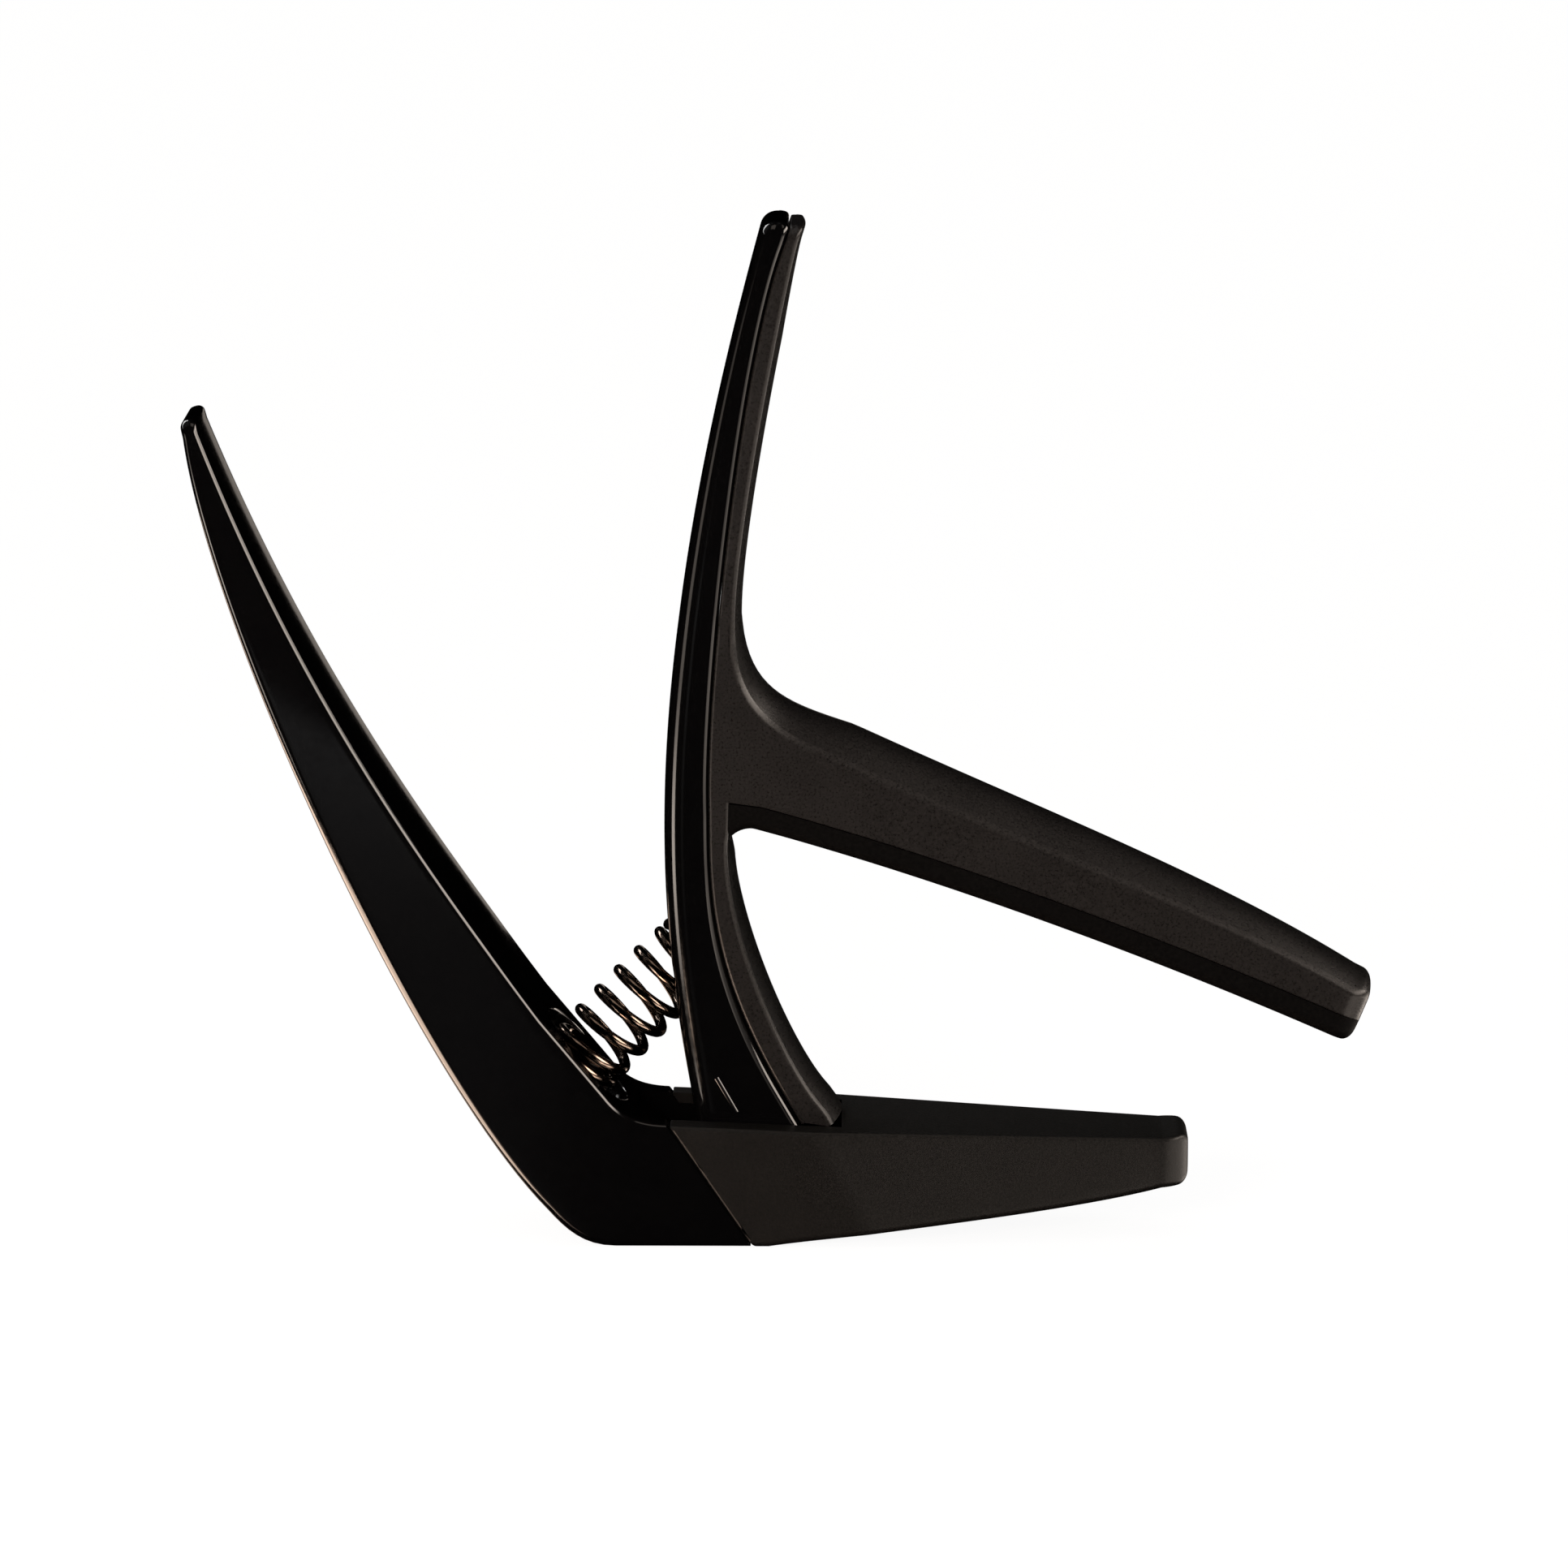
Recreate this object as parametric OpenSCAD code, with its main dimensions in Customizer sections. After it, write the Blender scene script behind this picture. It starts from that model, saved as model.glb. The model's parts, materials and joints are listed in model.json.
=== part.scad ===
// Spring-clamp guitar capo: two levers on one pin, pushed shut by a compression spring.
// X runs along the jaws, Y across the capo, Z up. The origin is on the flat under the body,
// straight below the pivot pin and midway across. Millimetres.

/* [Body and pivot] */
// Width of the body across the capo
body_w = 15; // [14.4:0.1:17]
// Height of the body at the slot
body_h = 11.1; // [10.8:0.1:12]
// Height of the pivot pin above the flat
pivot_z = 6.7; // [6.4:0.1:7]
// Diameter of the pivot pin
pin_d = 3; // [2.4:0.1:3.4]
// Wall of the bush round the pin
bush_wall = 0.7; // [0.5:0.1:0.9]
// Radius of the knuckle that the bush sits in
knuckle_r = 3.6; // [3.2:0.1:3.8]
// Width of the slot that the upper lever stands in
slot_w = 10; // [9.4:0.1:10.4]
// Left end of the slot, measured from the pivot
slot_back = 10.9; // [9.8:0.1:11.4]
// Right end of the slot, measured from the pivot
slot_front = 7.3; // [7.1:0.1:8.5]
// Thickness of each thrust washer
washer_t = 0.5; // [0.3:0.05:0.7]
// Radius of each thrust washer
washer_r = 3.2; // [2.6:0.1:3.4]

/* [Lower handle] */
// Reach of the handle's tip from the pivot
handle_reach = 49.2; // [44:0.2:56]
// Height of the handle's tip above the flat
handle_rise = 72; // [62:0.2:80]
// Width of the handle at its tip
handle_tip_w = 10.2; // [8:0.1:12]
// Thickness of the handle at its tip
handle_tip_t = 1.3; // [1.2:0.1:2.2]
// Radius of the rounding along the cast edges
edge_r = 0.7; // [0.3:0.05:0.9]

/* [Neck jaw] */
// Reach of the jaw's tip from the pivot
jaw_reach = 38; // [33:0.2:44]
// Width of the jaw at its tip
jaw_tip_w = 8.2; // [7.6:0.1:11]
// Height of the jaw at its tip
jaw_tip_h = 4.6; // [3.6:0.1:5.2]
// Fall of the jaw's top face from the body to the tip
jaw_fall = 1.9; // [1:0.1:2.4]
// Side wall of the moulded sleeve
sleeve_wall = 1; // [0.8:0.05:1.2]
// Top and bottom skin of the moulded sleeve
sleeve_skin = 1; // [0.7:0.05:1.1]
// Half width of the cast tongue inside the sleeve
tongue_half = 2.8; // [2:0.1:3.2]

/* [Upper lever] */
// Height of the upright handle
upright_h = 90.4; // [80:0.2:100]
// Width of the upright at its top
upright_tip_w = 9.6; // [8:0.1:11]
// Width of the upright where the bar branches off
root_w = 11; // [10:0.1:12]
// Rounding along the front edges of the upright
front_r = 1.6; // [0.6:0.1:1.8]
// Clearance of the foot in the slot on each side
foot_gap = 0.3; // [0.2:0.05:0.4]
// Half width of the cast core inside the grip
core_half = 2.4; // [1.8:0.1:3]

/* [String bar] */
// Reach of the bar's tip from the pivot
bar_reach = 53.9; // [48:0.2:60]
// Height of the bar's top edge at its tip
bar_tip_z = 22.8; // [19:0.1:24]
// Width of the bar at its tip
bar_tip_w = 9.8; // [8.4:0.1:11]
// Rise of the rounded back of the bar at its root
bar_crown = 2.6; // [1.6:0.1:3]
// Rise of the rounded back of the bar at its tip
tip_crown = 1.4; // [0.8:0.1:1.8]
// Rise of the rounded back of the upright
upright_crown = 0.6; // [0.3:0.1:0.9]
// Thickness of the rubber string pad
pad_t = 2.2; // [1.6:0.1:2.6]
// Rounding of the pad's lower edges
pad_round = 0.9; // [0.3:0.1:1.3]

/* [Spring] */
// Outer diameter of the spring
spring_d = 7.4; // [6.8:0.1:7.8]
// Diameter of the spring wire
wire_d = 1; // [0.8:0.05:1.2]
// Active turns between the closed ends
active_turns = 5; // [4:1:6]
// Diameter of the spring's seat in the lower lever
seat_d = 10.4; // [9.6:0.1:10.8]

/* [Hidden] */

// Clearances: pressed parts, running parts, bonded mouldings, and the fine lines between mouldings.
press_gap = 0.01;
run_gap = 0.03;
bond_gap = 0.05;
seam_gap = 0.2;
// Width of the slanted joint between casting and sleeve, and the lap that is trimmed back to it.
joint_gap = 0.24;
joint_lap = [2, 0];
// Room between the pad's heel and the back of the upright.
heel_gap = 0.4;
// Free play of the knuckle in the slot and of each washer face.
slot_play = 0.4;
washer_play = 0.05;
// Rounding along the edges of the moulded parts, and of the foot of the grip.
mould_r = 0.35;
// Rounding in plan of the tips of the jaw, of the bar and of the two handles.
jaw_nose = 2.4;
bar_nose = 2;
handle_nose = 1.4;
// Rounding in profile of the outer corners of those tips, and of the corners that meet at a seam.
jaw_round = 0.9;
bar_round = 1.2;
seam_round = 0.1;
parting_round = 0.4;
// Drop of the pad's heel where it turns down along the upright.
heel_drop = 1.3;
// Crown at the foot of the upright's back.
toe_crown = 1;
// Extra height of the bar's crown near its middle.
crown_swell = 0.3;
// Wall between the slot's right end and the front of the cheeks.
slot_wall = 1.2;

pin_r = pin_d / 2;
bush_r = pin_r + run_gap + bush_wall;
slot_r = knuckle_r + slot_play;
knuckle_w = slot_w - 2 * washer_t - 4 * washer_play;
foot_w = slot_w - 2 * foot_gap;
cheek_w = body_w - 2 * sleeve_wall - 2 * bond_gap;
cheek_front = slot_front + slot_wall;

// Outlines, each a cubic curve given by its two ends and the two handles between them.
// The seat is the straight run of the lower handle that carries the spring.
seat_top = [-19.1, body_h + 9.4];
seat_foot = [-13.4, body_h + 2.5];
slant_top = [-8.2, body_h];
slant_foot = [-0.7, 0];
tip_in = [-handle_reach + handle_tip_t / 2, handle_rise];
tip_out = tip_in - [handle_tip_t, 0.4];
heel = [-18.6, 3.3];
heel_end = [-12.6, 0];
handle_inner = [tip_in, tip_in + [8.7, -21.5], seat_top + [-12.9, 15.8], seat_top];
handle_outer = [tip_out, tip_out + [2.2, -16.5], heel + [-10.8, 11.7], heel];
body_fillet = [seat_foot, seat_foot + [1.2, -1.6], slant_top + [-2.6, 0.1], slant_top];
body_heel = [heel, heel + [1.6, -1.8], heel_end + [-2.9, 0], heel_end];

jaw_tip = [jaw_reach - jaw_nose, body_h - jaw_fall];
jaw_chin = jaw_tip - [0, jaw_tip_h];
flat_end = [0.9, 0];
jaw_under = [flat_end, flat_end + [6.4, 1], jaw_chin + [-9.4, -2.2], jaw_chin];

upright_top = [0.4, upright_h];
upright_foot = [-6.1, 14];
upright_face = [upright_top, upright_top + [-10.2, -37.1], upright_foot + [-3.5, 19.2], upright_foot];
parting_head = [2.4, upright_h - 1.4];
parting_mid = [-4.4, 38.7];
parting_foot = [2.3, 12.9];
parting_upper = [parting_head, parting_head + [-3.9, -9.4], parting_mid + [-0.4, 10.2], parting_mid];
parting_lower = [parting_mid, parting_mid + [0, -7], parting_foot + [-6.7, 11.5], parting_foot];
back_head = [3.45, upright_h - 1.4];
back_bend = [-2.1, 55.8];
back_hip = [-2.6, 36.9];
back_toe = [5.9, 11.6];
back_upper = [back_head, back_head + [-1.7, -6.4], back_bend + [0, 6.8], back_bend];
back_lower = [back_hip, back_hip + [-1.2, -6], back_toe + [-4, 4], back_toe];

shoulder = [7.1, 43.2];
bar_end = [bar_reach - 0.95 * bar_nose, bar_tip_z];
fillet = [back_bend, back_bend + [-0.4, -7.8], shoulder + [-6, 2.6], shoulder];
bar_top = [shoulder, shoulder + [14.8, -7.1], bar_end + [-13.7, 7.9], bar_end];
pad_heel = [-0.3, 37.1];
pad_toe = bar_end + [-1.8, -4.2];
pad_under = [pad_heel, pad_heel + [12.3, -3.3], pad_toe + [-18.9, 8.4], pad_toe];
foot_z = pivot_z + knuckle_r + 0.2;

// Ends of the spring's centre line, and the angles at which it leaves its two seats.
spring_foot = [-15.8, body_h + 4];
spring_head = [-5.9, 25.1];
foot_angle = 48;
head_angle = 41;
coil_r = (spring_d - wire_d) / 2;
boss_r = coil_r - wire_d / 2 - 0.25;
foot_boss_h = 2;
head_boss_h = 1.4;
head_seat_d = spring_d + 0.6;

// Fineness of the curved mouldings.
round_step = 30;
wire_sides = 8;
turn_steps = 18;
$fn = 48;

function bez(p, t) =
    pow(1 - t, 3) * p[0] + 3 * pow(1 - t, 2) * t * p[1] + 3 * (1 - t) * t * t * p[2] + pow(t, 3) * p[3];
function curve(p, n, a = 0, b = 1) = [for (i = [0:n]) bez(p, a + (b - a) * i / n)];
function line(a, b, n) = [for (i = [0:n]) a + (b - a) * i / n];
function tail(v) = [for (i = [1:len(v) - 1]) v[i]];
function flip(v) = [for (i = [len(v) - 1:-1:0]) v[i]];
function unit(v) = v / norm(v);
function clamp(t) = min(1, max(0, t));
function mix(a, b, t) = a + (b - a) * clamp(t);
function smooth(t) = clamp(t) * clamp(t) * (3 - 2 * clamp(t));

// Parameter at which coordinate k of curve p passes value v, by halving the interval.
function find(p, k, v, a = 0, b = 1, n = 24) =
    let (m = (a + b) / 2, low = (bez(p, m)[k] < v) == (p[0][k] < p[3][k]))
    n == 0 ? m : low ? find(p, k, v, m, b, n - 1) : find(p, k, v, a, m, n - 1);
function z_on(p, x) = bez(p, find(p, 0, x))[1];
function x_on(p, z) = bez(p, find(p, 1, z))[0];

// Outward direction of edge curve a at station i, away from the facing curve b.
function outward(a, b, i) =
    let (t = a[min(i + 1, len(a) - 1)] - a[max(i - 1, 0)], n = unit([-t[1], t[0]]))
    n * (a[i] - b[i]) < 0 ? -n : n;

// One side of a section from the far edge to the near one: [y, rise] with edge radius r, and crown c
// on a crowned side.
function side(h, r, c) =
    let (corner = [for (b = [90:-round_step:0]) h - r + r * sin(b)])
    let (middle = is_undef(c) ? [] : [for (k = [-1:1]) -k * (h - r) / 2], top = is_undef(c) ? 0 : c)
    [for (y = concat(corner, middle, -flip(corner)))
        [y, top * (1 - pow(y / h, 2)) - r + sqrt(max(0, r * r - pow(max(0, abs(y) - h + r), 2)))]];

// Closed ring of points round station i: edge curves a and b, half width h, edge radii ra and rb,
// and a crown c along a.
function ring(a, b, h, ra, rb, c, i) =
    let (w = 0.45 * norm(a[i] - b[i]), up = outward(a, b, i), down = outward(b, a, i))
    concat(
        [for (s = side(h, min(ra, w), c)) let (p = a[i] + up * s[1]) [p[0], s[0], p[1]]],
        [for (s = flip(side(h, min(rb, w)))) let (p = b[i] + down * s[1]) [p[0], s[0], p[1]]]);

// Solid skinned over closed rings that all have the same number of points.
module skin(rings) {
    n = len(rings[0]);
    last = len(rings) - 1;
    sides = [for (i = [0:last - 1], k = [0:n - 1])
        let (p = i * n + k, q = i * n + (k + 1) % n) each [[p, p + n, q + n], [p, q + n, q]]];
    polyhedron(
        points = [for (r = rings) each r],
        faces = concat([[for (k = [0:n - 1]) k]], sides, [[for (k = [n - 1:-1:0]) last * n + k]]),
        convexity = 8);
}

// Fall of a rounding of radius r at distance g from where it ends.
function fall(r, g) = r - sqrt(r * r - pow(max(0, r - g), 2));

// Rounded end of a bar: four stations beyond station 0 of edges a and b, as [a, b, half width],
// for radius rp in plan and radii rz in profile at a and at b.
function nose(a, b, h, rp, rz) =
    let (d = unit(unit(a[0] - a[1]) + unit(b[0] - b[1])), u = unit(b[0] - a[0]))
    let (room = 0.45 * norm(b[0] - a[0]))
    [for (t = [90:-22.5:22.5])
        let (gap = rp * (1 - sin(t)), f = d * rp * sin(t))
        [a[0] + f + u * fall(min(rz[0], room), gap), b[0] + f - u * fall(min(rz[1], room), gap),
            h - fall(rp, gap)]];

// Bar from edges a and b, half widths h and crowns c, with a rounded end before station 0.
module tipped_bar(a, b, h, rp, rz, ra, rb, c) {
    tip = nose(a, b, h[0], rp, rz);
    bar(concat([for (s = tip) s[0]], a), concat([for (s = tip) s[1]], b),
        concat([for (s = tip) s[2]], h), ra, rb,
        is_undef(c) ? undef : concat([for (k = [1:4]) c[0] * k / 5], c));
}

// Bar between edge curves a and b, half width h[i], edge radii ra and rb, and crown c[i] along a.
module bar(a, b, h, ra, rb, c) {
    rings = [for (i = [0:len(a) - 1]) ring(a, b, h[i], ra, rb, is_undef(c) ? undef : c[i], i)];
    skin(cross(a[1] - a[0], b[1] - a[1]) < 0 ? rings : flip(rings));
}

// Plate of width w across the capo, from an outline in X and Z.
module across(w) {
    rotate([90, 0, 0]) linear_extrude(w, center = true) children();
}

// Cylinder along Y on the pivot axis.
module on_pivot(r, w) {
    translate([0, w / 2, pivot_z]) rotate([90, 0, 0]) cylinder(r = r, h = w);
}

// Places a piece at point p of the XZ plane with its own Z axis at angle a above +X.
module along(p, a) {
    translate([p[0], 0, p[1]]) rotate([0, 90 - a, 0]) children();
}

function dir(a) = [cos(a), sin(a)];

// ---- lower lever

function handle_half(z) = mix(body_w, handle_tip_w, pow(clamp((z - body_h) / (handle_rise - body_h)), 2)) / 2;

handle_a = concat(curve(handle_inner, 18), tail(line(seat_top, seat_foot, 3)), tail(curve(body_fillet, 6)),
    [slant_top + joint_lap]);
handle_b = concat(curve(handle_outer, 18, 0, 0.8), tail(curve(handle_outer, 3, 0.8, 1)),
    tail(curve(body_heel, 3)), tail(line(heel_end, slant_foot, 3)), [slant_foot + joint_lap]);

// Everything on one side of the slanted joint moved by s along X: past it with k = 1, short of it with k = -1.
module joint_side(s, k) {
    run = slant_top - slant_foot;
    a = slant_foot - run / 2 + [s, 0];
    b = slant_top + run / 2 + [s, 0];
    across(2 * body_w) polygon([a, b, b + [k * body_w, 0], a + [k * body_w, 0]]);
}

module handle_casting() {
    half = [for (p = handle_a) handle_half(p[1])];
    difference() {
        tipped_bar(handle_a, handle_b, half, handle_nose, [handle_tip_t, handle_tip_t], edge_r, edge_r);
        joint_side(0, 1);
    }
}

function jaw_top_z(x) = mix(body_h, jaw_tip[1], (x - slant_top[0]) / (jaw_tip[0] - slant_top[0]));

// Outline of the two cheeks, and of the tongue beyond them, grown by gap g.
module cheek_outline(g) {
    xs = [for (i = [0:4]) mix(slant_foot[0] + 0.5, cheek_front + g, i / 4)];
    polygon(concat(
        [[slant_top[0] - 2, body_h - sleeve_skin + g],
            [cheek_front + g, jaw_top_z(cheek_front) - sleeve_skin + g]],
        flip([for (x = xs) [x, z_on(jaw_under, x) + sleeve_skin - g]]),
        [[slant_foot[0] - 2, sleeve_skin]]));
}

module tongue_outline(g) {
    xs = [for (i = [0:5]) mix(slot_front + 0.4, jaw_reach - 5 + g, i / 5)];
    polygon(concat(
        [for (x = xs) [x, jaw_top_z(x) - sleeve_skin - 0.3 + g]],
        flip([for (x = xs) [x, z_on(jaw_under, x) + sleeve_skin + 0.3 - g]])));
}

// Outline of the slot that the foot and the knuckle swing in.
module slot_outline() {
    polygon(concat(
        [[slot_front, 2 * body_h], [-slot_back, 2 * body_h], [-slot_back, body_h - 0.6]],
        [for (a = [200:10:320]) [0, pivot_z] + slot_r * dir(a)],
        [[slot_front, pivot_z - 1.5]]));
}

module base_lever() {
    color([0.03, 0.03, 0.03]) difference() {
        union() {
            difference() {
                union() {
                    handle_casting();
                    across(cheek_w) cheek_outline(0);
                    across(2 * tongue_half) tongue_outline(0);
                }
                along(spring_foot - dir(foot_angle) * wire_d / 2, foot_angle) cylinder(d = seat_d, h = 12);
            }
            along(spring_foot - dir(foot_angle) * (wire_d / 2 + 0.5), foot_angle)
                cylinder(r = boss_r, h = foot_boss_h + 0.5);
        }
        across(slot_w) slot_outline();
        on_pivot(pin_r + press_gap, body_w);
    }
}

function jaw_half(x) = mix(body_w, jaw_tip_w, (x - slot_front) / (jaw_reach - slot_front)) / 2;

module jaw_sleeve() {
    n = 15;
    top = line(slant_top - joint_lap, jaw_tip, n);
    under = concat([slant_foot - joint_lap, slant_foot], curve(jaw_under, n - 2));
    half = [for (i = [0:n]) jaw_half((top[i][0] + under[i][0]) / 2)];
    color([0.14, 0.13, 0.13]) difference() {
        tipped_bar(flip(top), flip(under), flip(half), jaw_nose, [jaw_round, jaw_round], mould_r, edge_r);
        joint_side(joint_gap, -1);
        across(cheek_w + 2 * bond_gap) cheek_outline(bond_gap);
        across(2 * (tongue_half + bond_gap)) tongue_outline(bond_gap);
        across(slot_w + 2 * bond_gap) slot_outline();
    }
}

module pivot_pin() {
    color([0.6, 0.6, 0.62]) on_pivot(pin_r, cheek_w - 0.1);
}

module washer(s) {
    color([0.85, 0.84, 0.8]) translate([0, s * (knuckle_w + washer_t + 2 * washer_play) / 2, 0]) difference() {
        on_pivot(washer_r, washer_t);
        on_pivot(pin_r + run_gap, 2 * washer_t);
    }
}

module pivot_washer_near() {
    washer(-1);
}

module pivot_washer_far() {
    washer(1);
}

// ---- spring

spring_run = norm(spring_head - spring_foot);
spring_line = [spring_foot, spring_foot + dir(foot_angle) * spring_run / 3,
    spring_head - dir(head_angle) * spring_run / 3, spring_head];
turns = active_turns + 2;

// Distance along the spring's centre line after n turns: a closed turn, the active ones, a closed turn.
function rise(n) =
    min(n, 1) * wire_d + clamp((n - 1) / active_turns) * (spring_run - 2 * wire_d) + max(0, n - turns + 1) * wire_d;

module spring() {
    rings = [for (i = [0:turns * turn_steps])
        let (n = i / turn_steps, t = rise(n) / spring_run, c = bez(spring_line, t))
        let (d = unit(bez(spring_line, t + 0.01) - bez(spring_line, t - 0.01)), up = [-d[1], 0, d[0]])
        let (out = up * cos(360 * n) - [0, sin(360 * n), 0], ax = [d[0], 0, d[1]])
        [for (k = [0:wire_sides - 1]) let (a = 360 * k / wire_sides)
            [c[0], 0, c[1]] + out * (coil_r + wire_d / 2 * cos(a)) + ax * wire_d / 2 * sin(a)]];
    color([0.2, 0.19, 0.18]) skin(flip(rings));
}

// ---- upper lever

function upright_half(z) =
    (z < 45 ? mix(foot_w, root_w, smooth((z - 14) / 20))
            : mix(root_w, upright_tip_w, (z - 56) / (upright_h - 56))) / 2;
function face_x(z) = z > upright_foot[1] ? x_on(upright_face, z) : upright_foot[0] + (upright_foot[1] - z) * 0.16;
function parting_x(z) =
    z > parting_mid[1] ? x_on(parting_upper, z)
    : z > parting_foot[1] ? x_on(parting_lower, z) : parting_foot[0] + (parting_foot[1] - z) * 0.58;
function back_x(z) =
    z > back_bend[1] ? x_on(back_upper, z)
    : z > back_hip[1] ? mix(back_hip[0], back_bend[0], (z - back_hip[1]) / (back_bend[1] - back_hip[1]))
    : z > back_toe[1] ? x_on(back_lower, z) : back_toe[0] + (back_toe[1] - z) * 0.5;

// Point at share t of the seat that the pad is bonded to.
function pad_seat(t) =
    let (p = bez(pad_under, t), d = unit(bez(pad_under, t + 0.01) - bez(pad_under, t - 0.01)))
    p + [-d[1], d[0]] * pad_t;

// Cast core inside the bar, grown by gap g.
module bar_core(g) {
    xs = [for (i = [0:5]) mix(shoulder[0] + 1, bar_reach - 10 + g, i / 5)];
    across(2 * (core_half + g)) polygon(concat(
        [parting_mid + [-1, 10.4 + g], shoulder + [-9.5, 3.9 + g], shoulder + [-6.6, 0.9 + g]],
        [for (x = xs) [x, z_on(bar_top, x) - 0.6 + g]],
        flip([for (x = xs) [x, pad_seat(find(pad_under, 0, x))[1] + 1.1 - g]]),
        [parting_mid + [-1, 3.4 - g]]));
}

// Ribs on the casting that key into the grip, between heights lo and hi.
module key_rib(lo, hi, g) {
    zs = [for (i = [0:6]) mix(lo - g, hi + g, i / 6)];
    across(2 * (core_half / 2 + g)) polygon(concat(
        [for (z = zs) [parting_x(z) - 0.6, z]],
        flip([for (z = zs) [parting_x(z) + seam_gap + 0.6 + g, z]])));
}

module keys(g) {
    bar_core(g);
    key_rib(parting_mid[1] + 22, upright_h - 8, g);
    key_rib(foot_z + 6, parting_mid[1] - 5, g);
}

module strip_casting() {
    n = 26;
    zs = [for (i = [0:n]) mix(upright_h - 1, foot_z, i / n)];
    a = [for (z = zs) [face_x(z), z]];
    b = [for (z = zs) [parting_x(z), z]];
    half = [for (z = zs) upright_half(z)];
    tipped_bar(a, b, half, handle_nose, [handle_nose, parting_round], front_r, edge_r);
}

module upper_lever() {
    leg = foot_z + 1;
    color([0.03, 0.03, 0.03]) difference() {
        union() {
            difference() {
                union() {
                    strip_casting();
                    keys(0);
                    across(knuckle_w) polygon([[face_x(leg) + 0.6, leg], [parting_x(leg) - 0.6, leg],
                        [knuckle_r, pivot_z], [-knuckle_r, pivot_z]]);
                }
                along(spring_head + dir(head_angle) * wire_d / 2, head_angle + 180)
                    cylinder(d = head_seat_d, h = 10);
            }
            along(spring_head + dir(head_angle) * (wire_d / 2 + 0.5), head_angle + 180)
                cylinder(r = boss_r, h = head_boss_h + 0.5);
            on_pivot(knuckle_r, knuckle_w);
        }
        on_pivot(bush_r + press_gap, 2 * knuckle_w);
    }
}

module pivot_bush() {
    color([0.72, 0.55, 0.3]) difference() {
        on_pivot(bush_r, knuckle_w);
        on_pivot(pin_r + run_gap, 2 * knuckle_w);
    }
}

// Back strip of the upright, which runs from its top to the foot.
module back_strip() {
    n = 26;
    zs = [for (i = [0:n]) mix(back_head[1], foot_z, i / n)];
    a = [for (z = zs) [back_x(z), z]];
    b = [for (z = zs) [parting_x(z) + seam_gap, z]];
    half = [for (z = zs) upright_half(z)];
    crown = [for (z = zs) mix(toe_crown, upright_crown, (z - back_toe[1]) / 20)
        * smooth((abs(z - back_hip[1] - 1.5) - 1.5) / 3)];
    tipped_bar(a, b, half, handle_nose, [handle_nose, parting_round], mould_r, mould_r, crown);
}

armpit = [back_x(pad_heel[1] + pad_t), pad_heel[1] + pad_t + 0.3];
bar_steps = 12;
root_share = 0.16;
seat_line = concat(line(armpit, pad_seat(0), 2), tail([for (i = [0:4]) pad_seat(root_share * i / 4)]),
    tail([for (i = [0:bar_steps]) pad_seat(mix(root_share, 1, i / bar_steps))]));

module bar_moulding() {
    a = concat([back_bend + [-1, 0.6]], curve(fillet, 6), tail(curve(bar_top, bar_steps)));
    b = concat([armpit + [-0.8, 0.1]], seat_line);
    half = [for (i = [0:len(a) - 1]) mix(root_w, bar_tip_w, (i - 7) / bar_steps) / 2];
    crown = [for (i = [0:len(a) - 1]) let (t = clamp((i - 7) / bar_steps))
        i < 8 ? mix(upright_crown, bar_crown, (i - 1) / 6)
              : mix(bar_crown, tip_crown, t) + crown_swell * sin(180 * pow(t, 0.7))];
    tipped_bar(flip(a), flip(b), flip(half), bar_nose, [bar_round, seam_round], mould_r, mould_r, flip(crown));
}

module bar_grip() {
    color([0.15, 0.14, 0.14]) difference() {
        union() {
            back_strip();
            bar_moulding();
        }
        keys(bond_gap);
    }
}

module string_pad() {
    start = armpit + [heel_gap, -bond_gap];
    top = concat([start], [for (p = tail(seat_line)) p - [0, bond_gap]]);
    under = concat([[start[0], pad_heel[1] - heel_drop], [top[1][0], pad_heel[1] - 0.25 * heel_drop]],
        [for (i = [0:4]) bez(pad_under, root_share * i / 4)],
        tail([for (i = [0:bar_steps]) bez(pad_under, mix(root_share, 1, i / bar_steps))]));
    half = [for (i = [0:len(top) - 1]) mix(root_w, bar_tip_w, (i - 6) / bar_steps) / 2 - 0.1];
    color([0.08, 0.08, 0.08])
        tipped_bar(flip(top), flip(under), flip(half), bar_nose, [seam_round, bar_round], seam_round, pad_round);
}

base_lever();
jaw_sleeve();
pivot_pin();
pivot_washer_near();
pivot_washer_far();
spring();
upper_lever();
pivot_bush();
bar_grip();
string_pad();
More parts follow.
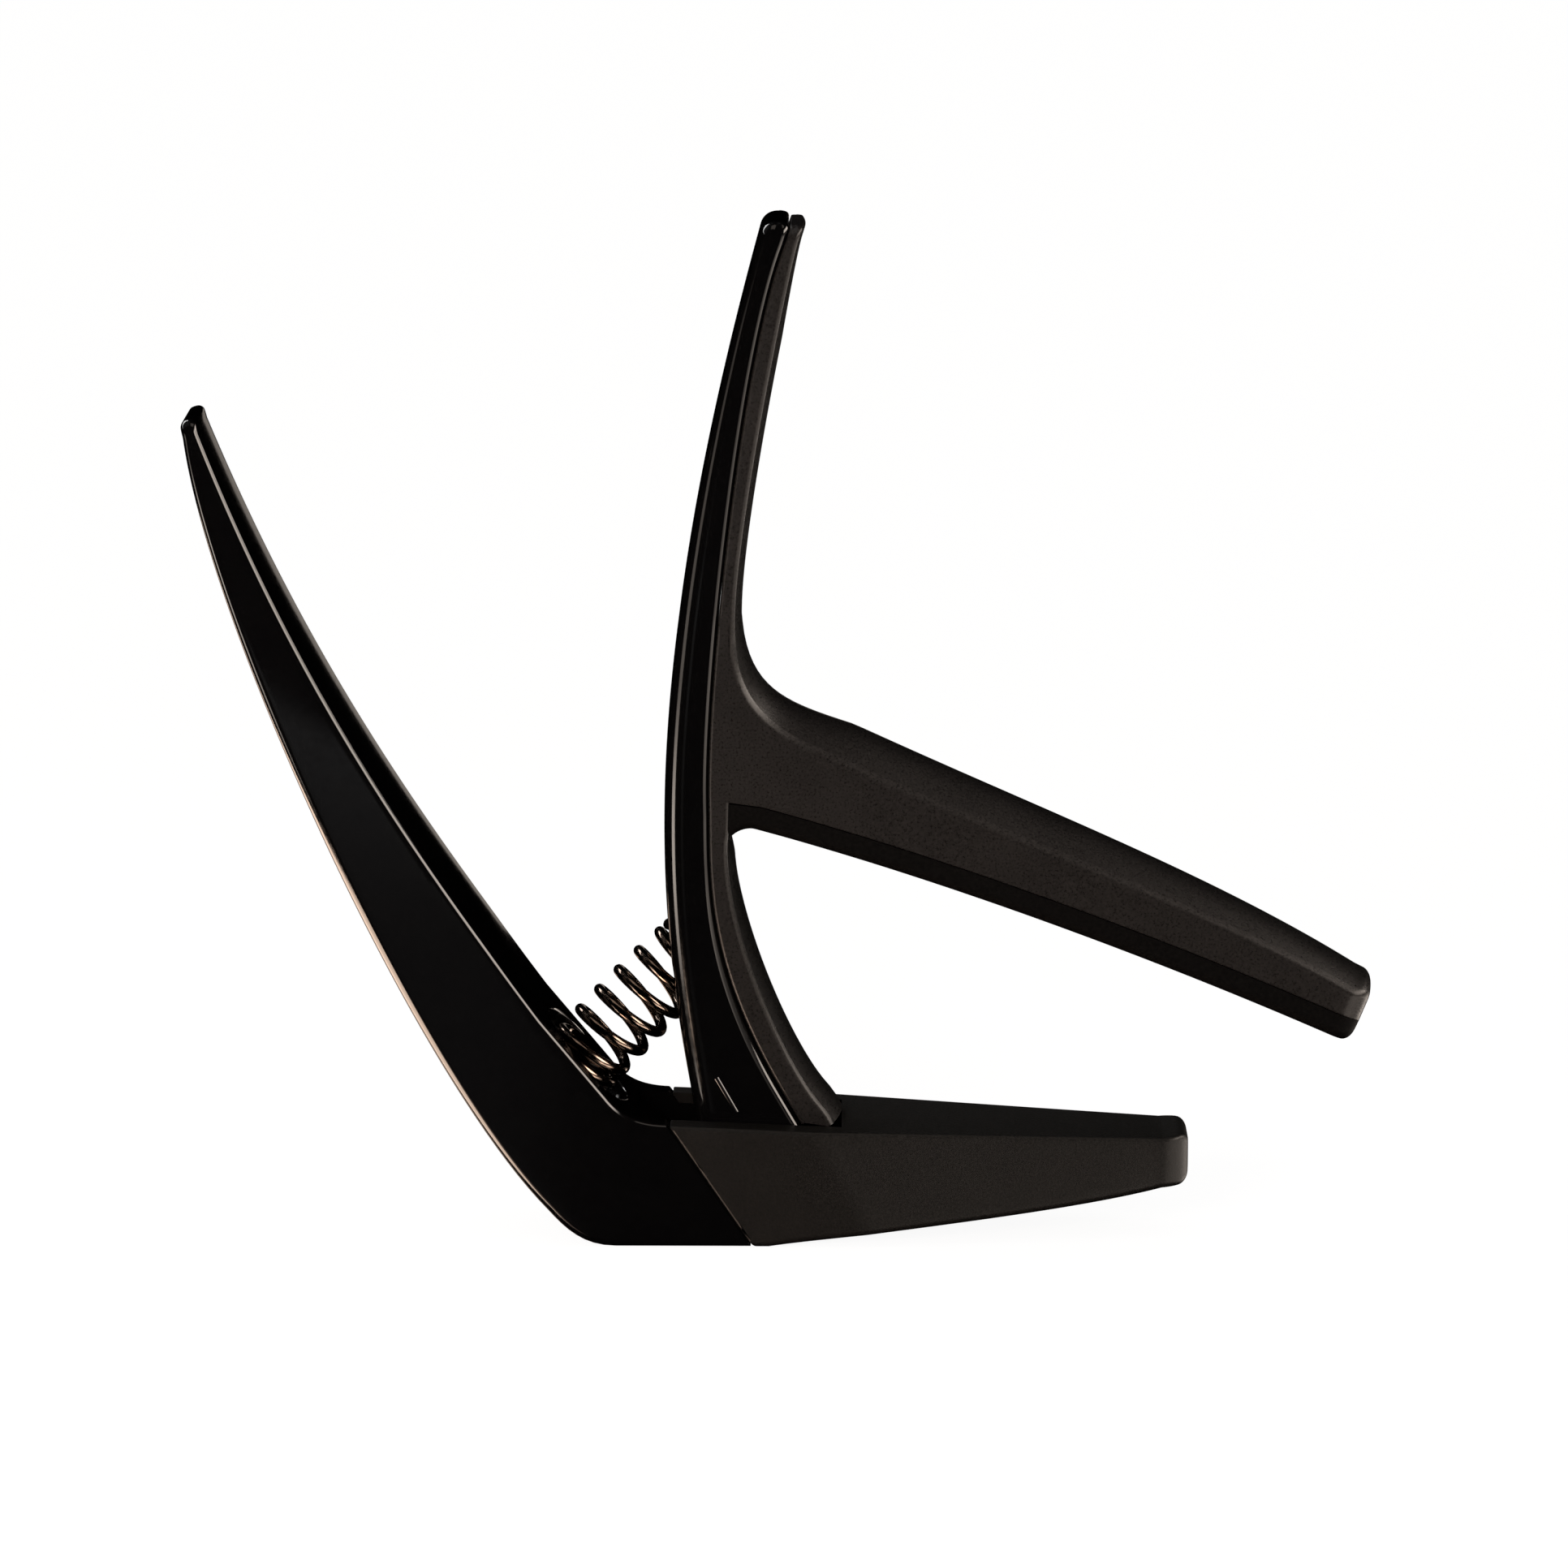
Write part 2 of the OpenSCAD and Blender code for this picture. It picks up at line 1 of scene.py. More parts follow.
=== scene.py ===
"""Looks of a spring-clamp guitar capo: two enamelled castings on one pin, a coil spring between
them, a moulded grip with a rubber string pad, and a moulded sleeve on the neck jaw.

Every outline is drawn in millimetres in the plane of the levers: X along the jaws, Z up, and Y
across the capo. A mesh takes its points times MM, so that it is in metres.
"""
import json
from math import cos, pi, radians, sin, sqrt, tan
import bmesh
import bpy
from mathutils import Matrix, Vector


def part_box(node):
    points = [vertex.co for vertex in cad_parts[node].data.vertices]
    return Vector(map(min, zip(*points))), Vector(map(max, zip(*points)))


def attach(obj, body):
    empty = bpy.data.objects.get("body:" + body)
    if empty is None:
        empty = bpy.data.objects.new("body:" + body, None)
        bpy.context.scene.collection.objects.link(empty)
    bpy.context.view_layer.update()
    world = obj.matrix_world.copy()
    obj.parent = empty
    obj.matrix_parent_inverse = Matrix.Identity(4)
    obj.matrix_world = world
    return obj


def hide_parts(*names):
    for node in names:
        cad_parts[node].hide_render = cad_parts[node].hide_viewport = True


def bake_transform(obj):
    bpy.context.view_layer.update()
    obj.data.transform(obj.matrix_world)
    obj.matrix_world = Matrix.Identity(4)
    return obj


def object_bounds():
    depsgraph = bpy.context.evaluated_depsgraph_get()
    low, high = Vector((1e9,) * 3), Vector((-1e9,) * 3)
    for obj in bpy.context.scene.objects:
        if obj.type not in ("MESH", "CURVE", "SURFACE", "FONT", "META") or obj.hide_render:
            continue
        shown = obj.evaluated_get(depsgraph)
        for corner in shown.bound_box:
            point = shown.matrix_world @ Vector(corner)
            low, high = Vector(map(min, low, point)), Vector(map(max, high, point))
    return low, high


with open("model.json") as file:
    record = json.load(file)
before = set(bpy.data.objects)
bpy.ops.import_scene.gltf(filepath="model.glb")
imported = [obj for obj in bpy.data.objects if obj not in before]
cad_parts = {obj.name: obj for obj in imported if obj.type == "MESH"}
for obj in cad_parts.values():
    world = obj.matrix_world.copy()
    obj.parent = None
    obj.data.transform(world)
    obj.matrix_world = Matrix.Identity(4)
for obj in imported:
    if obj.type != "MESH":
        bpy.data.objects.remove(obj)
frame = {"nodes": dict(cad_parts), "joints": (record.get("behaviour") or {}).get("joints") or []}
cad_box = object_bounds()

MM = 0.001


def place(x, z):
    return Vector((x, z))


def highest(node, axis):
    """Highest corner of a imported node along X, Y or Z, in millimetres to the nearest hundredth."""
    return round(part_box(node)[1]["XYZ".index(axis)] / MM, 2)


# ---------------------------------------------------------------- sizes, in millimetres

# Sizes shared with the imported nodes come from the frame.
PIVOT_Z = round(frame["joints"][0]["pos_m"][2] / MM, 2)
PIN_R, BUSH_R = highest("pivot_pin", "X"), highest("pivot_bush", "X")
KNUCKLE_W, BODY_W, ROOT_W = (2 * highest(node, "Y") for node in ("pivot_bush", "base_lever", "bar_grip"))

BODY_H, KNUCKLE_R, SLOT_PLAY = 11.1, 3.6, 0.4
SLOT_W, SLOT_BACK, SLOT_FRONT = 10, -10.9, 7.3
HANDLE_TIP_W, HANDLE_TIP_T, HANDLE_RISE, HANDLE_NOSE = 10.2, 1.3, 72, 1.4
JAW_REACH, JAW_TIP_W, JAW_TIP_H, JAW_FALL, JAW_NOSE = 38, 8.2, 4.6, 1.9, 2.4
CHEEK_W, CHEEK_WALL, SKIN = 12.9, 1.2, 1
UPRIGHT_H, UPRIGHT_TIP_W, FOOT_W = 90.4, 9.6, 9.4
BAR_REACH, BAR_TIP_W, BAR_TIP_Z, BAR_NOSE = 53.9, 9.8, 22.8, 2
PAD_T, PAD_SETBACK, HEEL_GAP, HEEL_DROP = 2.2, 0.1, 0.4, 1.6
WIRE_D, SPRING_D, ACTIVE_TURNS = 1, 7.4, 5
SEAT_D, SEAT_ROOM, HEAD_SEAT_D, HEAD_SEAT_ROOM = 10.4, 12, 8, 10
BOSS_R, FOOT_BOSS_H, HEAD_BOSS_H = 2.45, 1.5, 0.9
RIDGE_R = 0.3

# Radii of the edges: crisp where two pieces meet, fine on mouldings, fuller on the castings.
PLAIN_R, RIM_R, MOULD_R, GRIP_R, PALM_R, EDGE_R, PAD_R, FRONT_R = 0.1, 0.25, 0.35, 0.5, 0.5, 0.7, 0.9, 1.6
# Radii that round the ends off in their thickness.
JAW_END_R, BAR_END_R, PAD_END_R, STRIP_END_R, CAP_R, CAP_BACK_R = 0.9, 1.6, 1.2, 0.6, 1.4, 0.8

# Crowns: the inner face of the handle, the back of the upright, and the bar from root to tip.
PALM_CROWN, PALM_TIP_CROWN, TOE_CROWN, STRIP_CROWN = 0.47, 0.24, 1, 0.6
BAR_CROWN, BAR_TIP_CROWN, CROWN_SWELL = 2.6, 1.4, 0.3

# Gaps: a hair between pressed parts, the bond under a moulding, the parting line, and the joint,
# with the run of each piece beyond it that is trimmed back.
HAIR, BOND, SEAM, JOINT, LAP = 0.01, 0.05, 0.06, 0.24, place(2, 0)

# Outlines, each a cubic curve given by its two ends and the two handles between them.
TIP_IN = place(-48.55, HANDLE_RISE)
TIP_OUT = TIP_IN - place(HANDLE_TIP_T, 0.4)
SEAT_TOP, SEAT_FOOT = place(-19.1, BODY_H + 9.4), place(-13.4, BODY_H + 2.5)
SLANT_TOP, SLANT_FOOT = place(-8.2, BODY_H), place(-0.7, 0)
HEEL, HEEL_END = place(-18.6, 3.3), place(-12.6, 0)
HANDLE_INNER = [TIP_IN, TIP_IN + place(8.4, -21.5), SEAT_TOP + place(-11.6, 15.8), SEAT_TOP]
HANDLE_OUTER = [TIP_OUT, TIP_OUT + place(2.2, -16.5), HEEL + place(-11.3, 11.8), HEEL]
BODY_FILLET = [SEAT_FOOT, SEAT_FOOT + place(1.2, -1.6), SLANT_TOP + place(-2.6, 0.1), SLANT_TOP]
BODY_HEEL = [HEEL, HEEL + place(1.6, -1.8), HEEL_END + place(-2.9, 0), HEEL_END]

JAW_TIP = place(JAW_REACH - JAW_NOSE, BODY_H - JAW_FALL)
JAW_CHIN = JAW_TIP - place(0, JAW_TIP_H)
FLAT_END = place(0.9, 0)
JAW_UNDER = [FLAT_END, FLAT_END + place(6.4, 1), JAW_CHIN + place(-9.4, -2.2), JAW_CHIN]

UPRIGHT_TOP, UPRIGHT_FOOT = place(0.4, UPRIGHT_H), place(-6.1, 14)
UPRIGHT_FACE = [UPRIGHT_TOP, UPRIGHT_TOP + place(-10.2, -37.1), UPRIGHT_FOOT + place(-3.5, 19.2),
                UPRIGHT_FOOT]
PART_HEAD, PART_MID, PART_FOOT = place(2.4, UPRIGHT_H - 1.4), place(-4.4, 38.7), place(2.3, 12.9)
PART_UPPER = [PART_HEAD, PART_HEAD + place(-3.9, -9.4), PART_MID + place(-0.4, 10.2), PART_MID]
PART_LOWER = [PART_MID, PART_MID + place(0, -7), PART_FOOT + place(-6.7, 11.5), PART_FOOT]
BACK_HEAD, BACK_BEND = place(3.45, UPRIGHT_H - 1.4), place(-2.1, 55.8)
BACK_HIP, BACK_TOE = place(-2.6, 36.9), place(5.9, 11.6)
BACK_UPPER = [BACK_HEAD, BACK_HEAD + place(-1.7, -6.4), BACK_BEND + place(0, 6.8), BACK_BEND]
BACK_LOWER = [BACK_HIP, BACK_HIP + place(-1.2, -6), BACK_TOE + place(-4, 4), BACK_TOE]
FOOT_Z = PIVOT_Z + KNUCKLE_R + 0.2
RIDGE_TOP, RIDGE_FOOT = place(-3.75, 14.7), place(-2.0, 11.6)
# How far each line of the foot runs along X for each millimetre down, below its curve.
FACE_LEAN, PART_LEAN, BACK_LEAN = 0.16, 0.58, 0.5
UPRIGHT_STEPS = 110

SHOULDER = place(7.1, 43.2)
BAR_END = place(BAR_REACH - 0.95 * BAR_NOSE, BAR_TIP_Z)
FILLET = [BACK_BEND, BACK_BEND + place(-0.4, -7.8), SHOULDER + place(-6, 2.6), SHOULDER]
BAR_TOP = [SHOULDER, SHOULDER + place(14.8, -7.1), BAR_END + place(-13.7, 7.9), BAR_END]
PAD_HEEL, PAD_TOE = place(-0.3, 37.1), BAR_END + place(-1.8, -4.2)
PAD_UNDER = [PAD_HEEL, PAD_HEEL + place(12.3, -3.3), PAD_TOE + place(-18.9, 8.4), PAD_TOE]

# Ends of the spring's centre line, and the angles at which it leaves its two seats.
SPRING_FOOT, SPRING_HEAD = place(-15.8, BODY_H + 4), place(-5.9, 25.1)
FOOT_LEAN, HEAD_LEAN = radians(48), radians(41)


# ---------------------------------------------------------------- curves

def bend(p, t):
    """Point at share t of a cubic curve."""
    u = 1 - t
    return u ** 3 * p[0] + 3 * u ** 2 * t * p[1] + 3 * u * t * t * p[2] + t ** 3 * p[3]


def along(p, n, start=0.0, stop=1.0):
    """n + 1 points along a cubic curve, or along the straight line between two points."""
    shares = [start + (stop - start) * i / n for i in range(n + 1)]
    return [p[0].lerp(p[1], t) for t in shares] if len(p) == 2 else [bend(p, t) for t in shares]


def chain(*runs):
    """Joins runs of points that share their end points."""
    joined = list(runs[0])
    for run in runs[1:]:
        joined += run[1:]
    return joined


def clamp(t):
    return min(1.0, max(0.0, t))


def mix(a, b, t):
    return a + (b - a) * clamp(t)


def smooth(t):
    t = clamp(t)
    return t * t * (3 - 2 * t)


def share_at(p, axis, value):
    """Share of curve p at which its X (axis 0) or Z (axis 1) passes value."""
    low, high = 0.0, 1.0
    for _ in range(30):
        mid = (low + high) / 2
        if (bend(p, mid)[axis] < value) == (p[0][axis] < p[3][axis]):
            low = mid
        else:
            high = mid
    return (low + high) / 2


def z_on(p, x):
    return bend(p, share_at(p, 0, x)).y


def x_on(p, z):
    return bend(p, share_at(p, 1, z)).x


def heading(angle):
    return place(cos(angle), sin(angle))


# ---------------------------------------------------------------- lofted bars

def outward(a, b, i):
    """Direction square to edge line a at point i, away from edge line b."""
    run = a[min(i + 1, len(a) - 1)] - a[max(i - 1, 0)]
    normal = place(-run.y, run.x).normalized()
    return -normal if normal.dot(a[i] - b[i]) < 0 else normal


def edge_side(half, radius, crown, fine=8):
    """One edge face of a section from the far corner to the near one, as (y, rise)."""
    corner = [half - radius + radius * sin(radians(90 - 90 * k / fine)) for k in range(fine + 1)]
    flat = [(half - radius) * (1 - k / 4) for k in range(1, 8)]
    ys = corner + flat + [-y for y in reversed(corner)]
    return [(y, crown * (1 - (y / half) ** 2) - radius
             + sqrt(max(0.0, radius ** 2 - max(0.0, abs(y) - half + radius) ** 2))) for y in ys]


def section(a, b, up, down, half, ra, rb, crown, rows=12):
    """Ring of points round one station of a bar between edge points a and b, with edge radii ra and
    rb and a crown along a."""
    room = 0.45 * (a - b).length
    ra, rb = min(ra, room), min(rb, room)
    top = [(a + up * rise, y) for y, rise in edge_side(half, ra, crown)]
    low = [(b + down * rise, y) for y, rise in reversed(edge_side(half, rb, 0))]
    side = [top[-1][0].lerp(low[0][0], k / rows) for k in range(1, rows)]
    ring = top + [(p, -half) for p in side] + low + [(p, half) for p in reversed(side)]
    return [(p.x, y, p.y) for p, y in ring]


def fall(radius, gap):
    """Drop of a rounding at a distance gap from where it ends."""
    return radius - sqrt(radius ** 2 - max(0.0, radius - gap) ** 2)


def rounded_end(a, b, half, plan, profiles, crown, steps=12):
    """Stations beyond station 0 that close a bar with a round end: radius plan across it, and in its
    thickness one radius at edge a and one at edge b. The crown runs on over the end."""
    ahead = ((a[0] - a[1]).normalized() + (b[0] - b[1]).normalized()).normalized()
    over = (b[0] - a[0]).normalized()
    room = 0.45 * (b[0] - a[0]).length
    stations = []
    for k in range(steps):
        turn = radians(90 - 90 * k / steps)
        gap, lead = plan * (1 - sin(turn)), ahead * plan * sin(turn)
        width = half - fall(plan, gap)
        left = crown * (width / half) ** 2
        stations.append((a[0] + lead + over * (fall(min(profiles[0], room), gap) - crown + left),
                         b[0] + lead - over * fall(min(profiles[1], room), gap), width, left))
    return stations


def each(value, count):
    return list(value) if isinstance(value, (list, tuple)) else [value] * count


def lofted_bar(name, a, b, halves, ra, rb, crowns=0, tip=()):
    """Bar between edge lines a and b, beyond the stations of its tip if it has one. Radii and crowns
    are one number or one per station."""
    ra, rb, crowns = (each(v, len(a)) for v in (ra, rb, crowns))
    chord, rings = (a[0] - b[0]).normalized(), []
    for k, (*edges, half, crown) in enumerate(tip):
        # Roundings turn from square to the tip to square to the edges, so that the tip stays level.
        up = chord.lerp(outward(a, b, 0), k / len(tip))
        down = (-chord).lerp(outward(b, a, 0), k / len(tip))
        rings.append(section(*edges, up, down, half, ra[0], rb[0], crown))
    rings += [section(a[i], b[i], outward(a, b, i), outward(b, a, i), halves[i], ra[i], rb[i], crowns[i])
              for i in range(len(a))]
    return skin(name, rings)


def tipped_bar(name, a, b, halves, plan, profiles, ra, rb, crowns=0):
    """Bar with a rounded end before station 0."""
    tip = rounded_end(a, b, halves[0], plan, profiles, each(crowns, 1)[0])
    return lofted_bar(name, a, b, halves, ra, rb, crowns, tip)


def flip(*runs):
    """Each run of stations in the other order, as a tip comes before station 0."""
    return [run[::-1] for run in runs]


def skin(name, rings):
    """Mesh object skinned over closed rings that all have the same number of points."""
    work = bmesh.new()
    loops = [[work.verts.new(Vector(p) * MM) for p in ring] for ring in rings]
    count = len(loops[0])
    for one, two in zip(loops, loops[1:]):
        for k in range(count):
            work.faces.new((one[k], two[k], two[(k + 1) % count], one[(k + 1) % count]))
    work.faces.new(loops[0])
    work.faces.new(list(reversed(loops[-1])))
    return settle(name, work)


def settle(name, work):
    """Turns a mesh in work into an object, with its faces outward."""
    bmesh.ops.recalc_face_normals(work, faces=work.faces)
    mesh = bpy.data.meshes.new(name)
    work.to_mesh(mesh)
    work.free()
    piece = bpy.data.objects.new(name, mesh)
    bpy.context.scene.collection.objects.link(piece)
    return piece


# ---------------------------------------------------------------- solids for cuts and joins

def prism(name, ends):
    """Solid between two outlines in space that have the same number of points."""
    work = bmesh.new()
    one, two = ([work.verts.new(Vector(p) * MM) for p in end] for end in ends)
    work.faces.new(one)
    work.faces.new(list(reversed(two)))
    for k in range(len(one)):
        j = (k + 1) % len(one)
        work.faces.new((one[j], one[k], two[k], two[j]))
    return settle(name, work)


def plate(name, outline, width):
    """Plate of the given width across the capo, from an outline in X and Z."""
    return prism(name, [[(p.x, y, p.y) for p in outline] for y in (-width / 2, width / 2)])


def rod(name, start, axis, radius, length, steps=72):
    """Round rod from start, a point in space, along a unit axis."""
    axis = Vector(axis)
    side = axis.orthogonal().normalized()
    other = axis.cross(side)
    turns = [2 * pi * k / steps for k in range(steps)]
    return prism(name, [[Vector(start) + axis * lift + (side * cos(t) + other * sin(t)) * radius
                         for t in turns] for lift in (0, length)])


def pivot_rod(name, radius, width):
    return rod(name, (0, -width / 2, PIVOT_Z), (0, 1, 0), radius, width)


def seat_rod(name, point, angle, back, radius, length):
    """Rod on the spring's axis at one of its seats, starting the given way behind the point."""
    way = heading(angle)
    start = point - way * back
    return rod(name, (start.x, 0, start.y), (way.x, 0, way.y), radius, length)


def seat_cut(point, angle, width, room):
    """Clears the seat that the spring's end turn lies on, and the room in front of it."""
    return seat_rod("seat", point, angle, WIRE_D / 2, width / 2, room)


def seat_boss(point, angle, height):
    """Boss that centres the spring on its seat, rooted in the casting below it."""
    root = 0.5
    return seat_rod("boss", point, angle, WIRE_D / 2 + root, BOSS_R, height + WIRE_D / 2 + root)


def shape(piece, joins=(), cuts=()):
    """Joins solids to a piece, then cuts others from it, and keeps the result as its mesh."""
    for operation, solids in (("UNION", joins), ("DIFFERENCE", cuts)):
        for solid in solids:
            step = piece.modifiers.new(solid.name, "BOOLEAN")
            step.operation, step.object, step.solver = operation, solid, "MANIFOLD"
    graph = bpy.context.evaluated_depsgraph_get()
    result = bpy.data.meshes.new_from_object(piece.evaluated_get(graph))
    piece.modifiers.clear()
    piece.data = result
    for solid in (*joins, *cuts):
        bpy.data.objects.remove(solid)
    return piece


def soften(piece, on_line, radius):
    """Rounds over the sharp edges that lie on a line, which on_line tells from a point in mm."""
    work = bmesh.new()
    work.from_mesh(piece.data)
    edges = [e for e in work.edges if len(e.link_faces) == 2 and e.calc_face_angle() > radians(35)
             and all(on_line(v.co / MM) for v in e.verts)]
    bmesh.ops.bevel(work, geom=edges, offset=radius * MM, segments=3, profile=0.5, affect="EDGES")
    work.to_mesh(piece.data)
    work.free()


def finish_edges(piece, turn=32):
    """Smooth shading over edges that turn less than the given angle, with the flats kept flat."""
    piece.data.shade_smooth()
    piece.data.set_sharp_from_angle(angle=radians(turn))
    level = piece.modifiers.new("flats", "WEIGHTED_NORMAL")
    level.keep_sharp = True
    return piece


# ---------------------------------------------------------------- camera

def aim_camera():
    """Long-lens camera a little above the levers' plane, looking along +Y."""
    aim, reach, lens = Vector((2.18, 0, 40.2)) * MM, 650 * MM, 169.56522
    lift, turn = radians(11.5), radians(0.5)
    ahead = Vector((-sin(turn) * cos(lift), cos(turn) * cos(lift), -sin(lift)))
    data = bpy.data.cameras.new("camera")
    data.sensor_width, data.lens = 36, lens
    data.clip_start, data.clip_end = 0.01, 20
    camera = bpy.data.objects.new("camera", data)
    camera.location = aim - ahead * reach
    camera.rotation_euler = ahead.to_track_quat("-Z", "Y").to_euler()
    bpy.context.scene.collection.objects.link(camera)
    bpy.context.scene.camera = camera


aim_camera()


# ---------------------------------------------------------------- lower lever

def handle_half(z):
    """Half width of the handle, which narrows faster towards its tip."""
    return mix(BODY_W, HANDLE_TIP_W, clamp((z - BODY_H) / (HANDLE_RISE - BODY_H)) ** 2) / 2


def palm_crown(z):
    """Crown across the inner face of the handle, from above the spring's seat to the tip."""
    return mix(PALM_CROWN, PALM_TIP_CROWN, (z - 30) / 35) * smooth((z - 22) / 6)


def outer_edge_r(z):
    """Radius of the handle's outer edges, finer towards the tip."""
    return mix(0.8, 0.5, (z - 40) / 30)


def slot_plate(grow=0.0):
    """Slot that the foot and the knuckle of the upper lever swing in, widened by grow."""
    bowl_r, sill, ramp_foot = KNUCKLE_R + SLOT_PLAY, 0.6, 1.5
    bowl = [place(0, PIVOT_Z) + heading(radians(a)) * bowl_r for a in range(200, 321, 5)]
    outline = [place(SLOT_FRONT, 2 * BODY_H), place(SLOT_BACK, 2 * BODY_H), place(SLOT_BACK, BODY_H - sill),
               *bowl, place(SLOT_FRONT, PIVOT_Z - ramp_foot)]
    return plate("slot", outline, SLOT_W + grow)


def slant_plate(name, near, far, short=0.0, width=2 * BODY_W):
    """Plate between two lines parallel to the slanted joint, at near and far from it along X. It runs
    well past the joint, or stops short of the top and the underside."""
    run = (SLANT_TOP - SLANT_FOOT).normalized()
    reach = run * (-short / run.y if short else BODY_H)
    low, high = SLANT_FOOT - reach, SLANT_TOP + reach
    near, far = place(near, 0), place(far, 0)
    return plate(name, [low + near, high + near, high + far, low + far], width)


def joint_lip():
    """Thin locating lip on the casting that closes the joint a little below the surface."""
    inset, root = 0.4, 0.1
    lip = slant_plate("lip", -root, JOINT - 2 * HAIR, inset, BODY_W - 2 * inset)
    return shape(lip, cuts=[slot_plate()])


def jaw_top_z(x):
    return mix(BODY_H, JAW_TIP.y, (x - SLANT_TOP.x) / (JAW_TIP.x - SLANT_TOP.x))


def cheek_plate(name, gap=0.0):
    """Plate through both cast cheeks inside the sleeve, or with a gap the hollow that they fill."""
    front = SLOT_FRONT + CHEEK_WALL + gap
    xs = [mix(SLANT_FOOT.x + 0.5, front, k / 8) for k in range(9)]
    outline = [place(SLANT_TOP.x - LAP.x, BODY_H - SKIN + gap), place(front, jaw_top_z(front) - SKIN + gap),
               *[place(x, z_on(JAW_UNDER, x) + SKIN - gap) for x in reversed(xs)],
               place(SLANT_FOOT.x - LAP.x, SKIN)]
    return plate(name, outline, CHEEK_W + 2 * gap)


def on_seat_rim(p):
    """Whether a point lies on the rim of the spring's seat."""
    way, spot = heading(FOOT_LEAN), place(p.x, p.z) - SPRING_FOOT
    lift = spot.dot(way)
    return lift > 0 and abs(Vector((*(spot - way * lift), p.y)).length - SEAT_D / 2) < 3 * HAIR


def on_joint(p):
    """Whether a point lies on the sleeve's outer edge along the slanted joint."""
    line, skin_t = SLANT_FOOT.lerp(SLANT_TOP, p.z / BODY_H).x + JOINT, 0.5
    inside = abs(p.y) < BODY_W / 2 - skin_t and skin_t < p.z < BODY_H - skin_t
    return abs(p.x - line) < 2 * HAIR and not inside


def lower_casting():
    inner = chain(along(HANDLE_INNER, 72), along([SEAT_TOP, SEAT_FOOT], 8), along(BODY_FILLET, 16))
    outer = chain(along(HANDLE_OUTER, 72, 0, 0.8), along(HANDLE_OUTER, 8, 0.8, 1), along(BODY_HEEL, 8),
                  along([HEEL_END, SLANT_FOOT], 8))
    inner, outer = inner + [SLANT_TOP + LAP], outer + [SLANT_FOOT + LAP]
    zs = [p.y for p in inner]
    piece = tipped_bar("lower_casting", inner, outer, [handle_half(z) for z in zs], HANDLE_NOSE,
                       [HANDLE_TIP_T, HANDLE_TIP_T], PALM_R, [outer_edge_r(z) for z in zs],
                       [palm_crown(z) for z in zs])
    shape(piece, cuts=[slant_plate("beyond_joint", 0, BODY_W),
                       seat_cut(SPRING_FOOT, FOOT_LEAN, SEAT_D, SEAT_ROOM), slot_plate()])
    cheeks = shape(cheek_plate("cheeks"), cuts=[slot_plate()])
    shape(piece, joins=[seat_boss(SPRING_FOOT, FOOT_LEAN, FOOT_BOSS_H), cheeks, joint_lip()],
          cuts=[pivot_rod("pin_hole", PIN_R + HAIR, BODY_W + 1)])
    soften(piece, on_seat_rim, RIM_R)
    return finish_edges(piece)


def jaw_moulding():
    n = 48
    top = along([SLANT_TOP - LAP, JAW_TIP], n)
    under = [SLANT_FOOT - LAP, SLANT_FOOT] + along(JAW_UNDER, n - 2)
    halves = [mix(BODY_W, JAW_TIP_W, ((p.x + q.x) / 2 - SLOT_FRONT) / (JAW_REACH - SLOT_FRONT)) / 2
              for p, q in zip(top, under)]
    piece = tipped_bar("jaw_moulding", *flip(top, under, halves), JAW_NOSE, [JAW_END_R, JAW_END_R],
                       MOULD_R, EDGE_R)
    shape(piece, cuts=[slant_plate("before_joint", -BODY_W, JOINT), cheek_plate("hollow", BOND),
                       slot_plate(2 * BOND)])
    soften(piece, on_joint, RIM_R)
    return finish_edges(piece)


# ---------------------------------------------------------------- upper lever

def upright_half(z):
    """Half width of the upright: widest round the bar's root, less at the foot and at the top."""
    root_top = 56
    below = mix(FOOT_W, ROOT_W, smooth((z - UPRIGHT_FOOT.y) / 20))
    above = mix(ROOT_W, UPRIGHT_TIP_W, (z - root_top) / (UPRIGHT_H - root_top))
    return min(below, above) / 2


def face_x(z):
    foot = UPRIGHT_FOOT
    return x_on(UPRIGHT_FACE, z) if z > foot.y else foot.x + (foot.y - z) * FACE_LEAN


def parting_x(z):
    if z > PART_MID.y:
        return x_on(PART_UPPER, z)
    return x_on(PART_LOWER, z) if z > PART_FOOT.y else PART_FOOT.x + (PART_FOOT.y - z) * PART_LEAN


def back_x(z):
    if z > BACK_BEND.y:
        return x_on(BACK_UPPER, z)
    if z > BACK_HIP.y:
        return mix(BACK_HIP.x, BACK_BEND.x, (z - BACK_HIP.y) / (BACK_BEND.y - BACK_HIP.y))
    return x_on(BACK_LOWER, z) if z > BACK_TOE.y else BACK_TOE.x + (BACK_TOE.y - z) * BACK_LEAN


def upright_levels(top, foot, n):
    """n + 1 heights down the upright."""
    return [mix(top, foot, k / n) for k in range(n + 1)]


def parting_edge_r(z):
    """Radius of the casting's edges along the parting line, fullest at the foot."""
    return mix(0.9, 0.5, (z - 18) / 15)


def parting_rib():
    """Locating rib on the casting that closes the parting line below the surface."""
    inset, depth, drop, fine_r = 0.9, 0.5, 2.6, 0.05
    zs = upright_levels(UPRIGHT_H - drop, FOOT_Z + 1, 60)
    return lofted_bar("rib", [place(parting_x(z) - depth, z) for z in zs],
                      [place(parting_x(z) + SEAM - HAIR, z) for z in zs],
                      [upright_half(z) - inset for z in zs], fine_r, fine_r)


